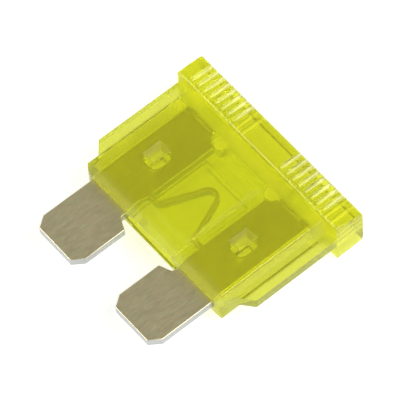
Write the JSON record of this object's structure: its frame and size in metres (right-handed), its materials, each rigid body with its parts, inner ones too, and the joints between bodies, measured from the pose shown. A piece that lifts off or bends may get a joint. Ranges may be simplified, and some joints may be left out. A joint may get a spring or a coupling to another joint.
{
  "type": "automotive blade fuse",
  "caption": "Plug-in blade fuse: clear moulded housing with a grooved grip head and side flanges round a flat stamping of blades, plates and a thin arched link.",
  "frame": {"origin": "centre of the base of the part's box, with the fuse lying on its back", "axes": "+X across the two blades, +Y from the blade tips to the head, +Z out of the front face"},
  "size_m": [0.019, 0.019, 0.0045],
  "materials": {
    "clear_plastic": "clear tinted moulding, smooth",
    "plated_metal": "tin plated, finely brushed"
  },
  "bodies": {
    "root": {"housing": "clear_plastic", "fuse_element": "plated_metal"}
  },
  "joints": []
}
